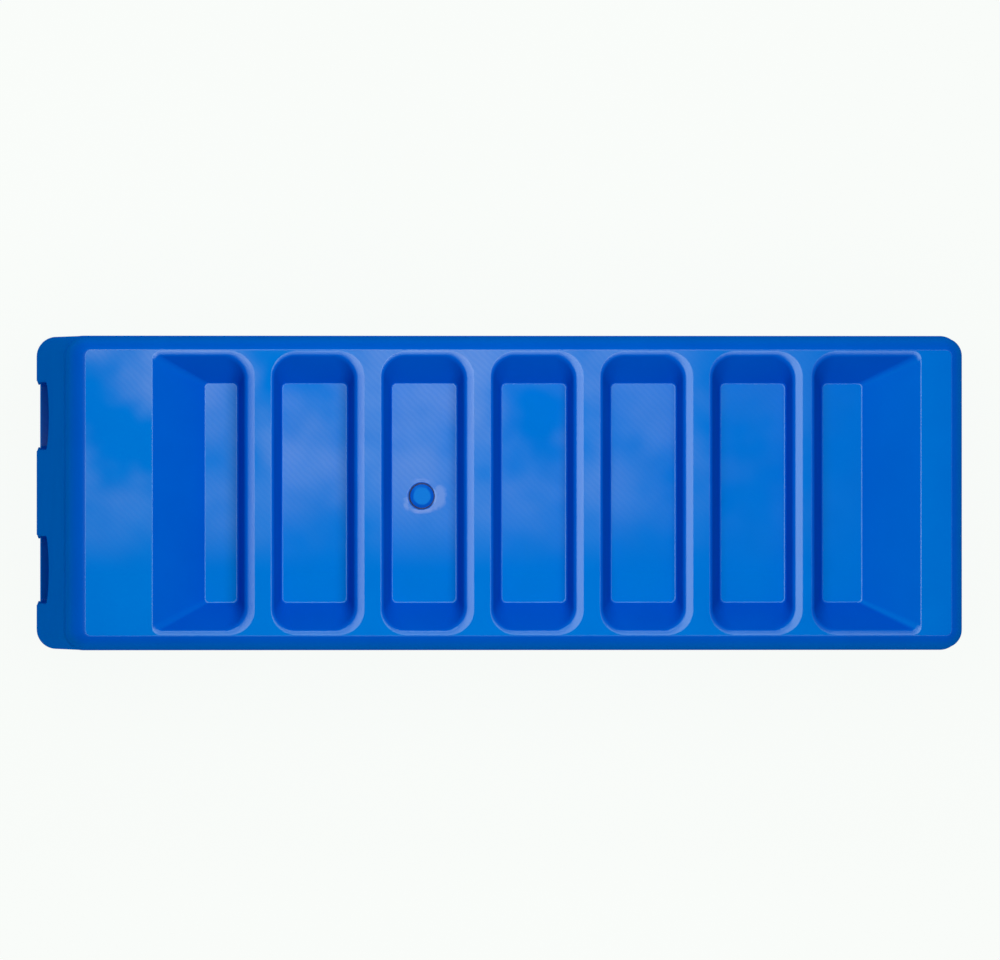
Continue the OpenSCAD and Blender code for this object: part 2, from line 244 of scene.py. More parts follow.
def rotomoulded_polyethylene(finish):
    """Linear polyethylene, rotationally moulded in a blasted aluminium mould.

    The pigment is deep and clean. The skin is waxy: a broad soft sheen, a fine grain that runs
    diagonally in patches, and slow ripples where it cooled unevenly. Edges that tilt a little are
    rubbed bright, and a pale painted reflection of the softboxes lies on the level faces.
    """
    material, tree, output = new_material("rotomoulded_polyethylene")
    place = add_node(tree, "ShaderNodeTexCoord").outputs["Object"]
    ripple = add_node(tree, "ShaderNodeTexNoise", {
        "Vector": place, "Scale": 1 / finish.ripple, "Detail": 1.0})
    patches = add_node(tree, "ShaderNodeTexNoise", {"Vector": place, "Scale": 1 / (70 * MM), "Detail": 2.0})
    speckle = add_node(tree, "ShaderNodeTexNoise", {
        "Vector": place, "Scale": 1 / finish.grain, "Detail": 3.0, "Roughness": 0.65})
    # The real grain is about 0.3 mm; it is drawn at 4.5 mm so that it still shows from a few metres
    drag = add_node(tree, "ShaderNodeTexWave", {
        "Vector": place, "Scale": 0.25 / finish.grain, "Distortion": 3.0, "Detail": 2.0},
        bands_direction="DIAGONAL")
    patch_mask = add_node(tree, "ShaderNodeMapRange", {
        "Value": patches.outputs["Fac"], "From Min": 0.42, "From Max": 0.66})
    drag_height = add_node(tree, "ShaderNodeMath", {
        0: drag.outputs["Fac"], 1: patch_mask.outputs["Result"]}, operation="MULTIPLY")
    grain_height = add_node(tree, "ShaderNodeMath", {
        0: drag_height.outputs["Value"], 1: 0.5, 2: speckle.outputs["Fac"]}, operation="MULTIPLY_ADD")
    grain_bump = add_node(tree, "ShaderNodeBump", {
        "Strength": 0.35, "Distance": 0.12 * MM, "Height": grain_height.outputs["Value"]})
    ripple_bump = add_node(tree, "ShaderNodeBump", {
        "Strength": 0.6, "Distance": 2.5 * MM, "Height": ripple.outputs["Fac"],
        "Normal": grain_bump.outputs["Normal"]})
    pigment = add_node(tree, "ShaderNodeMix", {
        "Factor": patches.outputs["Fac"], "A": linear(finish.skin), "B": linear(finish.skin_pale)},
        data_type="RGBA")
    roughness = add_node(tree, "ShaderNodeMapRange", {
        "Value": speckle.outputs["Fac"], "To Min": 0.38, "To Max": 0.48})
    body = add_node(tree, "ShaderNodeBsdfDiffuse", {
        "Color": pigment.outputs["Result"], "Normal": ripple_bump.outputs["Normal"]})
    sheen = add_node(tree, "ShaderNodeBsdfGlossy", {
        "Color": linear(finish.sheen), "Roughness": roughness.outputs["Result"],
        "Normal": ripple_bump.outputs["Normal"]})
    waxy = add_node(tree, "ShaderNodeMixShader", {
        "Fac": SHEEN_SHARE, 1: body.outputs["BSDF"], 2: sheen.outputs["BSDF"]})
    polish = add_node(tree, "ShaderNodeBsdfGlossy", {
        "Color": (1, 1, 1, 1), "Roughness": 0.27, "Normal": ripple_bump.outputs["Normal"]},
        distribution="BECKMANN")
    normal = add_node(tree, "ShaderNodeNewGeometry").outputs["Normal"]
    upright = add_node(tree, "ShaderNodeSeparateXYZ", {0: normal}).outputs["Z"]
    polished = add_node(tree, "ShaderNodeMixShader", {
        "Fac": chain(tree, "MULTIPLY", ramp(tree, upright, 0.9995, 0.99), ramp(tree, upright, 0.9, 0.97),
                     POLISH_SHARE),
        1: waxy.outputs["Shader"], 2: polish.outputs["BSDF"]})
    # Pale diffuse layer painted over level faces as the softboxes' reflection
    painted_reflection = add_node(tree, "ShaderNodeBsdfDiffuse", {"Color": linear(finish.painted_reflection)})
    amount = painted_reflection_amount(tree, place, upright, drag.outputs["Fac"])
    with_painted_reflection = add_node(tree, "ShaderNodeMixShader", {
        "Fac": amount, 1: polished.outputs["Shader"], 2: painted_reflection.outputs["BSDF"]})
    tree.links.new(with_painted_reflection.outputs["Shader"], output.inputs["Surface"])
    return material


def moulded_plastic(name, colour, rough, ior, grain):
    """Injection moulded plastic from a spark-eroded tool: even colour with a fine matt grain.

    The grain breaks the highlights up a little, and the colour hardly varies.
    """
    material, tree, output = new_material(name)
    place = add_node(tree, "ShaderNodeTexCoord").outputs["Object"]
    speckle = add_node(tree, "ShaderNodeTexNoise", {"Vector": place, "Scale": 1 / grain, "Detail": 3.0})
    shade = add_node(tree, "ShaderNodeMix", {
        "Factor": speckle.outputs["Fac"], "A": linear(colour), "B": [c * 0.82 for c in linear(colour)]},
        data_type="RGBA")
    roughness = add_node(tree, "ShaderNodeMapRange", {
        "Value": speckle.outputs["Fac"], "To Min": rough - 0.06, "To Max": rough + 0.06})
    bump = add_node(tree, "ShaderNodeBump", {
        "Strength": 0.3, "Distance": 0.05 * MM, "Height": speckle.outputs["Fac"]})
    shader = add_node(tree, "ShaderNodeBsdfPrincipled", {
        "Base Color": shade.outputs["Result"], "Roughness": roughness.outputs["Result"],
        "Normal": bump.outputs["Normal"], "IOR": ior})
    tree.links.new(shader.outputs["BSDF"], output.inputs["Surface"])
    return material


def injection_moulded_polyethylene(finish):
    """High density polyethylene, injection moulded: as blue as the skin, a little smoother."""
    material = moulded_plastic("injection_moulded_polyethylene", finish.plug, 0.34, 1.54, 1.6 * MM)
    shader = next(n for n in material.node_tree.nodes if n.type == "BSDF_PRINCIPLED")
    shader.inputs["Specular Tint"].default_value = (0.05, 0.8, 1.0, 1.0)
    return material


def light_table_acrylic(finish):
    """Opal acrylic of a light table: matt, almost white, and lit softly from below."""
    material, tree, output = new_material("light_table_acrylic")
    place = add_node(tree, "ShaderNodeTexCoord").outputs["Object"]
    cloud = add_node(tree, "ShaderNodeTexNoise", {"Vector": place, "Scale": 0.7, "Detail": 1.0})
    tone = add_node(tree, "ShaderNodeMapRange", {
        "Value": cloud.outputs["Fac"], "To Min": 0.03, "To Max": 0.05})
    shader = add_node(tree, "ShaderNodeBsdfPrincipled", {
        "Base Color": tone.outputs["Result"], "Roughness": 0.8, "Specular IOR Level": 0.0,
        "Emission Color": linear(finish.floor), "Emission Strength": 0.95})
    tree.links.new(shader.outputs["BSDF"], output.inputs["Surface"])
    return material


# Shapes --------------------------------------------------------------------------------------------

CORNER_STEPS = 12
ARC_STEPS = 8
LIP_LEAD = math.radians(14)
RECESS_LEAD = math.radians(9)
BEVEL_SLOPE = math.radians(14)
CREASE = 6 * MM
OVERSHOOT = 2 * MM  # how far a cutting tool reaches past the face it cuts
HAIR = 0.02 * MM  # keeps a round end from crossing itself
EDGE_LEAD = math.radians(24)


def round_outline(low, high, half, low_radius, high_radius, steps=CORNER_STEPS):
    """Points anticlockwise round a rectangle from low to high and half to each side, with round corners."""
    points = []
    for quarter, (along, across, radius) in enumerate((
            (high, half, high_radius), (low, half, low_radius),
            (low, -half, low_radius), (high, -half, high_radius))):
        centre_along = along - math.copysign(radius, along - (low + high) / 2)
        centre_across = across - math.copysign(radius, across)
        for step in range(steps + 1):
            angle = (quarter + step / steps) * QUARTER
            points.append((centre_along + radius * math.cos(angle), centre_across + radius * math.sin(angle)))
    return points


class LeaningWall:
    """A wall that leans in by run over depth, below a lip of one or more arcs and above a round foot.

    Each arc of the lip is a radius and the slope it ends at; the last one ends at the wall's own slope.
    The lip sets off from the face at the lead angle, so that its edge shows as a clean line.
    """

    def __init__(self, run, depth, lip, foot, lead):
        low, high = lip[-2][1] if len(lip) > 1 else lead, math.radians(89.9)
        self.run, self.depth, self.foot, self.lead = run, depth, foot, lead
        for _ in range(60):
            self.angle = (low + high) / 2
            self.arcs = self.lip_arcs(lip)
            start_in, start_drop = self.arcs[-1][4:]
            straight = depth - start_drop - foot * (1 - math.cos(self.angle))
            if start_in + foot * math.sin(self.angle) + straight / math.tan(self.angle) > run:
                low = self.angle
            else:
                high = self.angle

    def lip_arcs(self, lip):
        """Each arc as radius, start and end slope, depth at its start, and reach and depth at its end."""
        arcs, slope, far_in, drop = [], self.lead, 0, 0
        for number, (radius, end) in enumerate(lip):
            end = self.angle if number == len(lip) - 1 else end
            start_in, start_drop = far_in, drop
            far_in += radius * (math.sin(end) - math.sin(slope))
            drop += radius * (math.cos(slope) - math.cos(end))
            arcs.append((radius, slope, end, (start_in, start_drop), far_in, drop))
            slope = end
        return arcs

    def reach(self, q):
        """How far in from the mouth the wall stands at depth q; negative depths lie above the face."""
        if q < 0:
            return q / math.tan(self.lead)
        for radius, slope, _, (start_in, start_drop), _, drop in self.arcs:
            if q < drop:
                angle = math.acos(min(1, max(-1, math.cos(slope) - (q - start_drop) / radius)))
                return start_in + radius * (math.sin(angle) - math.sin(slope))
        rest = self.depth - q
        if rest < self.foot * (1 - math.cos(self.angle)):
            return self.run - self.foot * math.sqrt(max(0, 1 - (1 - rest / self.foot) ** 2))
        far_in, drop = self.arcs[-1][4:]
        return far_in + (q - drop) / math.tan(self.angle)

    def depths(self):
        """Depths at which a pocket's rings lie, close together round its lip and foot."""
        stations = [0]
        for radius, slope, end, (_, start_drop), _, _ in self.arcs:
            stations += [start_drop + radius * (
                math.cos(slope) - math.cos(slope + (end - slope) * i / ARC_STEPS))
                         for i in range(1, ARC_STEPS + 1)]
        return stations + [self.depth - self.foot * (1 - math.cos(self.angle * (1 - i / ARC_STEPS)))
                           for i in range(ARC_STEPS + 1)]


def add_rings(bm, rings):
    """Vertices of each ring, bridged to the next by quads."""
    made = [[bm.verts.new(point) for point in ring] for ring in rings]
    for first, second in zip(made, made[1:]):
        count = len(first)
        for i in range(count):
            j = (i + 1) % count
            bm.faces.new((first[i], first[j], second[j], second[i]))
    return made


def closed_loft(bm, rings):
    """A closed solid through rings."""
    made = add_rings(bm, rings)
    bm.faces.new(made[0])
    bm.faces.new(made[-1])
    return made


def fill_between(bm, outer, holes):
    """Fills the level face inside the outer loop with triangles and leaves its holes open."""
    loops = [outer] + holes
    verts = [vert for loop in loops for vert in loop]
    owner = [number for number, loop in enumerate(loops) for _ in loop]
    edges, start = [], 0
    for loop in loops:
        edges += [(start + i, start + (i + 1) % len(loop)) for i in range(len(loop))]
        start += len(loop)
    result = delaunay_2d_cdt([vert.co.xy for vert in verts], edges, [], 1, 1e-7)
    origin = [found[0] for found in result[3]]
    for face in result[2]:
        corners = [origin[i] for i in face]
        owners = {owner[i] for i in corners}
        if len(owners) > 1 or owners == {0}:
            bm.faces.new([verts[i] for i in corners])


class Pocket:
    """A hollow with round corners whose walls lean in, each by its own run."""

    def __init__(self, low, high, half, radii, foot_radii, runs, depth, lip, foot, lead=LIP_LEAD):
        self.low, self.high, self.half, self.radii, self.foot_radii = low, high, half, radii, foot_radii
        lips = lip if isinstance(lip, list) else [[(lip, None)]] * 3
        self.walls = [LeaningWall(run, depth, arcs, foot, lead) for run, arcs in zip(runs, lips)]
        self.depth = depth

    def outline(self, q):
        """Outline at depth q."""
        low_in, high_in, side_in = [wall.reach(q) for wall in self.walls]
        share = side_in / self.walls[2].run
        widest = self.half - side_in - HAIR
        radii = [min(widest, mouth + (end - mouth) * share) if q > 0 else min(widest, mouth - side_in)
                 for mouth, end in zip(self.radii, self.foot_radii)]
        return round_outline(self.low + low_in, self.high - high_in, self.half - side_in, *radii)

    def rings(self, to_world, above=0.0):
        """Rings from the mouth to the floor; above adds one that flares out past the face."""
        depths = max(self.walls, key=lambda wall: wall.angle).depths()
        if above:
            depths.insert(0, -above)
        return [[to_world(a, b, q) for a, b in self.outline(q)] for q in depths]


def new_object(name, bm):
    """Turns a bmesh into an object, with its faces turned outwards."""
    bmesh.ops.recalc_face_normals(bm, faces=bm.faces)
    mesh = bpy.data.meshes.new(name)
    bm.to_mesh(mesh)
    bm.free()
    obj = bpy.data.objects.new(name, mesh)
    bpy.context.scene.collection.objects.link(obj)
    return obj


def boolean(obj, tool, operation, use_self=False):
    """Adds the tool's solid to obj or takes it away, and removes the tool."""
    modifier = obj.modifiers.new(operation.lower(), "BOOLEAN")
    modifier.operation = operation
    modifier.solver = "EXACT"
    modifier.use_self = use_self
    modifier.object = tool
    bpy.context.view_layer.update()
    result = bpy.data.meshes.new_from_object(obj.evaluated_get(bpy.context.evaluated_depsgraph_get()))
    obj.modifiers.clear()
    obj.data = result
    bpy.data.objects.remove(tool)
    if not len(result.polygons):
        raise RuntimeError(f"{operation} left {obj.name} with no faces")


def smooth(obj, angle=34):
    """Smooth shading that keeps edges sharper than angle, with flat faces held flat."""
    obj.data.shade_smooth()
    obj.data.set_sharp_from_angle(angle=math.radians(angle))
    modifier = obj.modifiers.new("flat faces", "WEIGHTED_NORMAL")
    modifier.keep_sharp = True
    modifier.weight = 100


# The skin ------------------------------------------------------------------------------------------

def block_profile(skin):
    """Distance in from the block's sides, share of the top edge's rounding and height, from the top down."""
    bulge = 0.4 * MM
    ledge_top = TOP - skin.rim_height
    soft = 3 * MM
    points = []
    crease = CREASE
    bend = 1 - math.sin(EDGE_LEAD)
    for step in range(4):
        angle = EDGE_LEAD * step / 4
        back_up = crease * (math.tan(EDGE_LEAD / 2) - math.sin(angle))
        points.append((skin.ledge, 1 + back_up / skin.top_edge, TOP - crease * (1 - math.cos(angle))))
    for step in range(1, 2 * ARC_STEPS + 1):
        angle = EDGE_LEAD + (QUARTER - EDGE_LEAD) * step / (2 * ARC_STEPS)
        fall = skin.top_edge / bend * (math.cos(EDGE_LEAD) - math.cos(angle))
        points.append((skin.ledge, (1 - math.sin(angle)) / bend, TOP - fall))
    for step in range(ARC_STEPS + 1):
        share = step / ARC_STEPS
        points.append((skin.ledge * (0.5 + 0.5 * math.cos(math.pi * share)), 0,
                       ledge_top + soft * (1 - 2 * share)))
    for step in range(5):
        share = step / 4
        points.append((bulge * (0.5 - 0.5 * math.cos(math.pi * share)), 0,
                       ledge_top - 2 * soft - 2 * soft * share))
    for step in range(ARC_STEPS + 1):
        angle = QUARTER * step / ARC_STEPS
        points.append((bulge * (1 - step / ARC_STEPS) + skin.base_edge * (1 - math.cos(angle)), 0,
                       skin.base_edge * (1 - math.sin(angle))))
    return points


def recess_pockets(skin):
    """The recesses of the top, from the left end to the right."""
    right = LUG_TIP - skin.lug_length
    mouth = BACK - skin.side_land
    first = LEFT + skin.left_land
    last = right - skin.right_land - skin.last_length
    start = first + skin.first_length + skin.rib
    middle = (last - skin.last_rib - start - (skin.middle_count - 1) * skin.rib) / skin.middle_count
    spans = [(first, first + skin.first_length, skin.long_run, skin.steep_run,
              skin.slope_radius, skin.mouth_radius)]
    for i in range(skin.middle_count):
        low = start + i * (middle + skin.rib)
        spans.append((low, low + middle, skin.steep_run, skin.steep_run,
                      skin.mouth_radius, skin.mouth_radius))
    spans.append((last, last + skin.last_length, skin.steep_run, skin.long_run,
                  skin.mouth_radius, skin.slope_radius))
    plain = [(skin.lip, None)]
    side = [(skin.bevel_radius / 2, BEVEL_SLOPE), (skin.lip, None)]
    bevelled = [(skin.bevel_radius, BEVEL_SLOPE), (skin.lip, None)]
    return [Pocket(low, high, mouth, (low_radius, high_radius), (skin.floor_radius, skin.floor_radius),
                   (low_run, high_run, skin.side_run), skin.recess_depth,
                   [plain, plain if high_run > skin.steep_run else bevelled, side], skin.foot, RECESS_LEAD)
            for low, high, low_run, high_run, low_radius, high_radius in spans]


def seat_rings(plugs):
    """Rings of the uneven seat round the filler plug, from its edge to the flat floor."""
    rings = []
    count = 64
    inner = plugs.seat_mouth
    shares = (0.0, 0.06, 0.12, 0.2, 0.3, 0.42, 0.56, 0.7, 0.85, 1.0)
    for share in shares:
        ring = []
        for i in range(count):
            angle = 2 * math.pi * i / count
            across = Vector((math.cos(angle), math.sin(angle)))
            outer = Vector((plugs.seat_width * across.x, plugs.seat_length * across.y))
            flat = across * inner
            point = flat.lerp(outer, share)
            uneven = 0.75 + 0.5 * noise.noise(Vector((point.x, point.y, 0)) / (14 * MM))
            rise = plugs.seat_rise * uneven * min(1, share / 0.12) * (0.5 + 0.5 * math.cos(math.pi * share))
            ring.append((FILLER.x + point.x, FILLER.y + point.y, FILLER.z + 0.2 * MM + rise))
        rings.append(ring)
    return rings


def well_rings(plugs, steps=64):
    """Rings of the well that the filler bush fills, from its foot up to the seat's inner edge."""
    low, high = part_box("filler_bush")
    wide = (high.x - low.x) / 2 + 0.3 * MM
    under = FILLER.z + 0.06 * MM
    return [[(FILLER.x + radius * math.cos(2 * math.pi * i / steps),
              FILLER.y + radius * math.sin(2 * math.pi * i / steps), z) for i in range(steps)]
            for radius, z in ((wide, low.z - 2 * MM), (wide, under), (plugs.seat_mouth, under))]


def add_drain_well(bm, steps=96):
    """The round well that the drain bush fills."""
    low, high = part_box("drain_bush")
    wide = (high.x - low.x) / 2 + 0.2 * MM
    closed_loft(bm, [[(DRAIN.x + wide * math.cos(2 * math.pi * i / steps), y,
                       DRAIN.z + wide * math.sin(2 * math.pi * i / steps)) for i in range(steps)]
                     for y in (low.y - OVERSHOOT, high.y + OVERSHOOT)])


def block(skin, plugs):
    """The outer form of the block, closed, with its recesses."""
    bm = bmesh.new()
    right = LUG_TIP - skin.lug_length
    rings = []
    for inset, share, z in block_profile(skin):
        across = inset + skin.top_edge * share
        right_in = skin.top_edge * share if z > TOP - skin.rim_height else across
        outline = round_outline(LEFT + inset + skin.left_edge * share, right - right_in, BACK - across,
                                skin.corner - across, skin.corner - across)
        rings.append([(x, y, z) for x, y in outline])
    body = add_rings(bm, rings)
    bm.faces.new(body[-1])
    mouths = []
    for pocket in recess_pockets(skin):
        made = add_rings(bm, pocket.rings(lambda a, b, q: (a, b, TOP - q)))
        mouths.append(made[0])
        if pocket.low < FILLER.x < pocket.high:
            seat = add_rings(bm, well_rings(plugs) + seat_rings(plugs))
            fill_between(bm, made[-1], [seat[-1]])
            bm.faces.new(seat[0])
        else:
            bm.faces.new(made[-1])
    fill_between(bm, body[0], mouths)
    return new_object("barrier_skin", bm)


def socket_pocket(features, gap=0.0):
    """Arched hollow of a socket, or the form of a lug where it is smaller by gap."""
    half = features.socket_width / 2 - gap
    return features.sill + gap, features.socket_crown - gap, half


def add_sockets(bm, features):
    """The two arched sockets low in the left end."""
    low, high, half = socket_pocket(features)
    base = 8 * MM
    for side in (-1, 1):
        pocket = Pocket(low, high, half, (base, half), (base, half), (2 * MM, 6 * MM, 6 * MM),
                        features.socket_depth, features.edge, features.edge)
        rings = pocket.rings(lambda a, b, q, s=side: (LEFT + q, s * features.lock_spread + b, a), OVERSHOOT)
        closed_loft(bm, rings)


def add_sill_notches(bm, features):
    """The notches that set each socket's sill back from the end face."""
    _, _, half = socket_pocket(features)
    for side in (-1, 1):
        pocket = Pocket(GROUND - 40 * MM, features.sill + 6 * MM, half, (3 * MM, 3 * MM), (3 * MM, 3 * MM),
                        (MM, MM, 1.5 * MM), features.sill_back, 2.5 * MM, MM)
        rings = pocket.rings(lambda a, b, q, s=side: (LEFT + q, s * features.lock_spread + b, a), OVERSHOOT)
        closed_loft(bm, rings)


def add_fork_channels(bm, features):
    """Open channels under the block, with round edges at the ground and at both mouths."""
    edge = features.edge + MM
    crown = 14 * MM
    half = features.fork_width / 2
    side = [(half + edge * (1 - math.sin(LIP_LEAD)) + 2 * MM / math.tan(LIP_LEAD), -2 * MM)]
    for step in range(7):
        angle = LIP_LEAD + (QUARTER - LIP_LEAD) * step / 6
        side.append((half + edge * (1 - math.sin(angle)), edge * (1 - math.cos(angle))))
    top_half = half - features.fork_lean
    for step in range(9):
        angle = QUARTER * step / 8
        side.append((top_half - crown + crown * math.cos(angle),
                     features.fork_height - crown + crown * math.sin(angle)))
    outline = side + [(-x, z) for x, z in reversed(side)]
    middle = (LEFT + LUG_TIP - 25 * MM) / 2
    mouths = []
    for step in range(7):
        angle = LIP_LEAD + (QUARTER - LIP_LEAD) * step / 6
        mouths.append((edge * (1 - math.cos(angle)), edge * (1 - math.sin(angle))))
    mouths.insert(0, (-2 * MM, mouths[0][1] + (2 * MM + mouths[0][0]) / math.tan(LIP_LEAD)))
    stations = [(FRONT + q, grow) for q, grow in mouths] + [(BACK - q, grow) for q, grow in reversed(mouths)]
    for direction in (-1, 1):
        x0 = middle + direction * features.fork_spread
        rings = []
        for y, grow in stations:
            spread = (half + grow) / half
            rise = (features.fork_height + grow) / features.fork_height
            rings.append([(x0 + x * spread, y, z * rise) for x, z in outline])
        closed_loft(bm, rings)


def add_side_pockets(bm, features, skin):
    """Flutes on both long sides, and the drain pocket on the front."""
    right = LUG_TIP - skin.lug_length
    middle = (LEFT + right) / 2
    top = TOP - skin.rim_height - features.flute_top_land
    half_height = (top - features.flute_bottom) / 2
    centre = (top + features.flute_bottom) / 2
    corner = 14 * MM
    for i in range(features.flute_count):
        x0 = middle + (i - (features.flute_count - 1) / 2) * features.flute_pitch
        pocket = Pocket(x0 - features.flute_width / 2, x0 + features.flute_width / 2, half_height,
                        (corner, corner), (corner / 2, corner / 2), (features.flute_run,) * 3,
                        features.flute_depth, 4 * MM, 3 * MM)
        closed_loft(bm, pocket.rings(lambda a, b, q: (a, FRONT + q, centre + b), OVERSHOOT))
        closed_loft(bm, pocket.rings(lambda a, b, q: (a, BACK - q, centre + b), OVERSHOOT))
    half = features.pocket_width / 2
    pocket = Pocket(DRAIN.x - half, DRAIN.x + half, half, (14 * MM,) * 2, (11 * MM,) * 2,
                    (features.pocket_run + 2 * MM,) * 3, features.pocket_depth, features.edge - MM, 3 * MM)
    closed_loft(bm, pocket.rings(lambda a, b, q: (a, FRONT + q, DRAIN.z + b), OVERSHOOT))


def add_lugs(bm, features, skin):
    """Lugs with round edges and a round root, started a little inside the block."""
    right = LUG_TIP - skin.lug_length
    low, high, half = socket_pocket(features, features.lock_gap)
    root, nose, draft = 3 * MM, 6 * MM, MM
    stations = []
    for step in range(6):
        angle = LIP_LEAD + (QUARTER - LIP_LEAD) * step / 5
        stations.append((root * (1 - math.cos(angle)), -root * (1 - math.sin(angle))))
    stations.insert(0, (-MM, stations[0][1] - (MM + stations[0][0]) / math.tan(LIP_LEAD)))
    for step in range(ARC_STEPS + 1):
        angle = QUARTER * step / ARC_STEPS
        stations.append((skin.lug_length - nose + nose * math.sin(angle),
                         draft + nose * (1 - math.cos(angle))))
    base = 10 * MM
    for side in (-1, 1):
        rings = []
        for out, inset in stations:
            outline = round_outline(low + inset, high - inset, half - inset, base - inset,
                                    half - inset - HAIR)
            rings.append([(right + out, side * features.lock_spread + b, a) for a, b in outline])
        closed_loft(bm, rings)


def tool_object(name, add, *arguments):
    """A tool for a boolean, made by one of the add functions."""
    bm = bmesh.new()
    add(bm, *arguments)
    return new_object(name, bm)


# Plugs ---------------------------------------------------------------------------------------------

FILLER_SHANK = 13.1 * MM
DRAIN_SHANK = 19 * MM
SCALLOPS = 24
BAR_HEIGHT = 11 * MM
BAR_WAIST = 0.22  # share of the hand bar's width that its waist takes off

def turned(bm, profile, steps=96):
    """A solid turned from a profile of radius and height, both ends closed."""
    rings = [[(radius * math.cos(2 * math.pi * i / steps), radius * math.sin(2 * math.pi * i / steps), z)
              for i in range(steps)] for radius, z in profile]
    return closed_loft(bm, rings)


def threaded_shank(bm, radius, depth, pitch, low, high, steps=72):
    """A shank with a helical thread of rounded form that fades out at its foot."""
    rows_per_pitch = 10
    rows = int((high - low) / pitch * rows_per_pitch)
    rings = []
    for row in range(rows + 1):
        z = low + (high - low) * row / rows
        lead_in = min(1, (z - low) / (pitch * 0.8))
        ring = []
        for i in range(steps):
            turn = i / steps
            phase = (z / pitch - turn) * 2 * math.pi
            crest = 0.5 + 0.5 * math.tanh(2.2 * math.sin(phase)) / math.tanh(2.2)
            r = radius - depth + depth * crest * lead_in - 0.8 * MM * (1 - lead_in)
            ring.append((r * math.cos(2 * math.pi * turn), r * math.sin(2 * math.pi * turn), z))
        rings.append(ring)
    closed_loft(bm, rings)


def arc(centre_r, centre_z, radius, start, end, steps=6):
    """Points of an arc in a profile, angles in degrees from the outward direction."""
    return [(centre_r + radius * math.cos(math.radians(start + (end - start) * i / steps)),
             centre_z + radius * math.sin(math.radians(start + (end - start) * i / steps)))
            for i in range(steps + 1)]


def filler_plug(plugs):
    """Screw plug with a shallow domed head and a bevelled edge."""
    low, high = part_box("filler_plug")
    _, seal_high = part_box("filler_seal")
    head = (high.x - low.x) / 2
    seat = seal_high.z - FILLER.z
    crown = high.z - FILLER.z
    shank = FILLER_SHANK
    bm = bmesh.new()
    profile = [(shank - 2 * MM, seat - 0.5 * MM), (head - 1.2 * MM, seat)]
    profile += arc(head - MM, seat + MM, MM, -90, 0, 4)
    profile += arc(head - 1.4 * MM, crown - 3.2 * MM, 1.4 * MM, 0, 60, 5)
    profile += [(head - 4.6 * MM, crown - 0.45 * MM), (head - 5.4 * MM, crown - 0.15 * MM)]
    profile += [(head * share, crown - 0.15 * MM * share ** 2) for share in (0.6, 0.4, 0.2, 0.05)]
    turned(bm, profile)
    threaded_shank(bm, shank, plugs.thread_depth, plugs.filler_pitch, low.z - FILLER.z, seat + 0.2 * MM)
    plug = new_object("filler_plug_moulding", bm)
    plug.data.transform(Matrix.Translation(FILLER))
    return plug


def drain_plug(plugs):
    """Screw plug with a scalloped head and a hand bar, turned to face the front."""
    low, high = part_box("drain_plug")
    seal_low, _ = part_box("drain_seal")
    head = (high.x - low.x) / 2
    seat = DRAIN.y - seal_low.y
    tip = DRAIN.y - low.y
    foot = DRAIN.y - high.y
    bar = BAR_HEIGHT
    crown = tip - bar
    shank = DRAIN_SHANK
    steps = SCALLOPS * 8
    bm = bmesh.new()
    profile = [(shank - 2 * MM, seat - 0.5 * MM), (head - 1.2 * MM, seat)]
    profile += arc(head - MM, seat + MM, MM, -90, 0, 4)
    profile += arc(head - 1.6 * MM, crown - 1.6 * MM, 1.6 * MM, 0, 90, 6)
    profile += [(head * share, crown) for share in (0.86, 0.8)]
    profile += [(head * share, crown - 0.8 * MM) for share in (0.77, 0.4, 0.05)]
    rings = []
    for radius, z in profile:
        edge = max(0, (radius - 0.86 * head) / (0.14 * head))
        ring = []
        for i in range(steps):
            angle = 2 * math.pi * i / steps
            r = radius - 0.9 * MM * edge * (0.5 - 0.5 * math.cos(angle * SCALLOPS)) ** 2
            ring.append((r * math.cos(angle), r * math.sin(angle), z))
        rings.append(ring)
    closed_loft(bm, rings)
    threaded_shank(bm, shank, plugs.thread_depth, plugs.drain_pitch, foot, seat + 0.2 * MM)
    half_length, half_width = head - 5 * MM, 4.5 * MM
    bar_rings = []
    for rise, inset in ((-3 * MM, -0.6 * MM), (-0.8 * MM, -0.6 * MM), (0.4 * MM, 0), (bar * 0.5, 0.3 * MM),
                        (bar - 2 * MM, 0.6 * MM), (bar - 0.8 * MM, 1.1 * MM),
                        (bar - 0.2 * MM, 1.9 * MM), (bar, 3 * MM)):
        outline = round_outline(-half_length + inset, half_length - inset, half_width - inset,
                                (half_width - inset) * 0.95, (half_width - inset) * 0.95)
        bar_rings.append([(x, y * (1 - BAR_WAIST * (1 - (x / half_length) ** 2)), crown + rise)
                          for x, y in outline])
    closed_loft(bm, bar_rings)
    plug = new_object("drain_plug_moulding", bm)
    plug.data.transform(Matrix.Translation(DRAIN) @ Matrix.Rotation(QUARTER, 4, "X"))
    return plug


# Operators -----------------------------------------------------------------------------------------

class BuildSkin(bpy.types.Operator):
    """Build the moulded skin with its recesses, sockets, lugs, channels and flutes"""
    bl_idname = "barrier.build_skin"
    bl_label = "Build Skin"

    def execute(self, context):
        scene = context.scene
        skin, features, plugs = scene.barrier_skin, scene.barrier_features, scene.barrier_plugs
        body = block(skin, plugs)
        boolean(body, tool_object("lug_tool", add_lugs, features, skin), "UNION")
        boolean(body, tool_object("socket_tool", add_sockets, features), "DIFFERENCE")
        boolean(body, tool_object("notch_tool", add_sill_notches, features), "DIFFERENCE")
        boolean(body, tool_object("channel_tool", add_fork_channels, features), "DIFFERENCE")
        boolean(body, tool_object("side_tool", add_side_pockets, features, skin), "DIFFERENCE")
        boolean(body, tool_object("drain_well_tool", add_drain_well), "DIFFERENCE")
        smooth(body)
        body.data.materials.clear()
        body.data.materials.append(rotomoulded_polyethylene(scene.barrier_finish))
        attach(body, "tank")
        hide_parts("barrier_shell")
        return {"FINISHED"}


